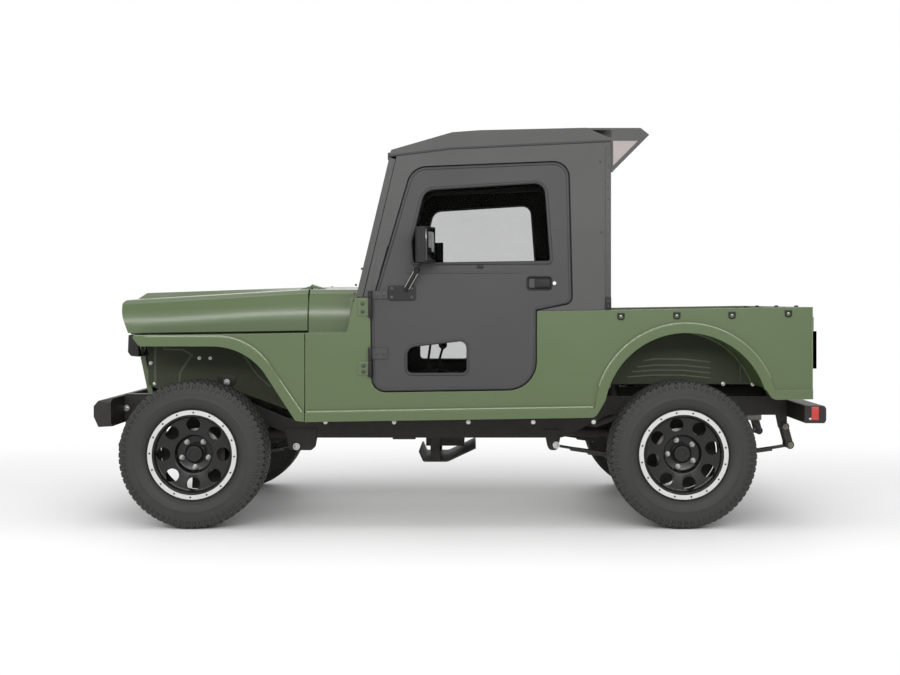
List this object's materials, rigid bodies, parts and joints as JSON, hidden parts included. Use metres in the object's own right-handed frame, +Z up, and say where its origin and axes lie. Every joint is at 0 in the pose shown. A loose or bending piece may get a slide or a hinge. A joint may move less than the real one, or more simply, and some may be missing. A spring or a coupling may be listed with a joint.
{
  "type": "light 4x4 utility pickup",
  "caption": "Short utility 4x4 with a hard half cab, open load bed, steerable front wheels on leaf springs, and opening doors, bonnet and tailgate.",
  "frame": {"origin": "on the ground, in the middle of the length and width", "axes": "-X towards the front of the car, -Y towards its left side, +Z up"},
  "size_m": [3.699, 1.8382, 1.9898],
  "materials": {
    "olive_paint": "satin",
    "cab_black": "satin",
    "door_black": "satin",
    "chassis_black": "satin",
    "spring_steel": "satin",
    "cast_grey": "matte",
    "exhaust_steel": "worn",
    "tank_black": "satin",
    "radiator_alloy": "satin",
    "wheel_black": "gloss",
    "tyre_rubber": "matte",
    "cabin_glass": "clear",
    "lamp_red": "gloss",
    "lamp_clear": "clear",
    "seat_cloth": "woven",
    "trim_plastic": "matte"
  },
  "bodies": {
    "chassis": {"cab_floor": "olive_paint", "load_floor": "olive_paint", "wheel_boxes": "olive_paint", "cowl": "olive_paint", "grille_panel": "olive_paint", "front_fender_left": "olive_paint", "front_fender_right": "olive_paint", "body_side_left": "olive_paint", "body_side_right": "olive_paint", "cab_back": "cab_black", "cab_roof": "cab_black", "cab_side_left": "cab_black", "cab_side_right": "cab_black", "windshield_frame": "cab_black", "frame_rails": "chassis_black", "crossmembers": "chassis_black", "skid_plate": "chassis_black", "front_bumper": "chassis_black", "rear_bumper": "chassis_black", "springs": "spring_steel", "shackles": "spring_steel", "dampers": "spring_steel", "front_axle": "cast_grey", "rear_axle": "cast_grey", "powertrain": "cast_grey", "propshafts": "cast_grey", "exhaust": "exhaust_steel", "fuel_tank": "tank_black", "radiator": "radiator_alloy", "tail_lamps": "lamp_red", "headlamps": "lamp_clear", "lamp_shrouds": "trim_plastic", "seats": "seat_cloth", "dashboard": "trim_plastic", "glazing": "cabin_glass"},
    "bonnet": {"hood": "olive_paint"},
    "tail_board": {"tailgate": "olive_paint"},
    "steering_wheel_body": {"steering_wheel": "trim_plastic"},
    "left_door": {"door_left": "door_black", "door_glass_left": "cabin_glass", "mirror_left": "trim_plastic"},
    "right_door": {"door_right": "door_black", "door_glass_right": "cabin_glass", "mirror_right": "trim_plastic"},
    "left_knuckle": {"knuckle_left": "cast_grey"},
    "right_knuckle": {"knuckle_right": "cast_grey"},
    "track_rod": {"tie_rod": "cast_grey"},
    "front_left_wheel": {"tyre_front_left": "tyre_rubber", "wheel_front_left": "wheel_black"},
    "front_right_wheel": {"tyre_front_right": "tyre_rubber", "wheel_front_right": "wheel_black"},
    "rear_left_wheel": {"tyre_rear_left": "tyre_rubber", "wheel_rear_left": "wheel_black"},
    "rear_right_wheel": {"tyre_rear_right": "tyre_rubber", "wheel_rear_right": "wheel_black"}
  },
  "joints": [
    {"name": "steer_left", "type": "hinge", "parent": "chassis", "child": "left_knuckle", "pos_m": [-1.309, -0.59, 0.367], "axis": [0, 0, 1], "range_deg": [-27, 27]},
    {"name": "steer_right", "type": "hinge", "parent": "chassis", "child": "right_knuckle", "pos_m": [-1.309, 0.59, 0.367], "axis": [0, 0, 1], "range_deg": [-27.5, 27.5]},
    {"name": "track_rod_pivot", "type": "hinge", "parent": "left_knuckle", "child": "track_rod", "pos_m": [-1.449, -0.59, 0.407], "axis": [0, 0, 1], "range_deg": [-27.5, 27.5]},
    {"name": "steering_wheel_turn", "type": "hinge", "parent": "chassis", "child": "steering_wheel_body", "pos_m": [-0.134, -0.34, 1.13], "axis": [0.848, 0, 0.5299], "range_deg": [-440, 440]},
    {"name": "left_door_hinge", "type": "hinge", "parent": "chassis", "child": "left_door", "pos_m": [-0.425, -0.775, 1], "axis": [0, 0, -1], "range_deg": [0, 72]},
    {"name": "right_door_hinge", "type": "hinge", "parent": "chassis", "child": "right_door", "pos_m": [-0.425, 0.775, 1], "axis": [0, 0, 1], "range_deg": [0, 72]},
    {"name": "bonnet_hinge", "type": "hinge", "parent": "chassis", "child": "bonnet", "pos_m": [-0.747, 0, 1.20716], "axis": [0, 1, 0], "range_deg": [0, 60]},
    {"name": "tail_board_hinge", "type": "hinge", "parent": "chassis", "child": "tail_board", "pos_m": [1.791, 0, 0.696], "axis": [0, 1, 0], "range_deg": [0, 90]},
    {"name": "front_left_wheel_spin", "type": "hinge", "parent": "left_knuckle", "child": "front_left_wheel", "pos_m": [-1.309, -0.675, 0.367], "axis": [0, 1, 0], "continuous": true},
    {"name": "rear_left_wheel_spin", "type": "hinge", "parent": "chassis", "child": "rear_left_wheel", "pos_m": [1.129, -0.675, 0.367], "axis": [0, 1, 0], "continuous": true},
    {"name": "front_right_wheel_spin", "type": "hinge", "parent": "right_knuckle", "child": "front_right_wheel", "pos_m": [-1.309, 0.675, 0.367], "axis": [0, 1, 0], "continuous": true},
    {"name": "rear_right_wheel_spin", "type": "hinge", "parent": "chassis", "child": "rear_right_wheel", "pos_m": [1.129, 0.675, 0.367], "axis": [0, 1, 0], "continuous": true}
  ],
  "couplings": [
    {"joint": "steer_right", "follows": "steer_left", "ratio": 1},
    {"joint": "track_rod_pivot", "follows": "steer_left", "ratio": -1},
    {"joint": "steering_wheel_turn", "follows": "steer_left", "ratio": 16}
  ]
}
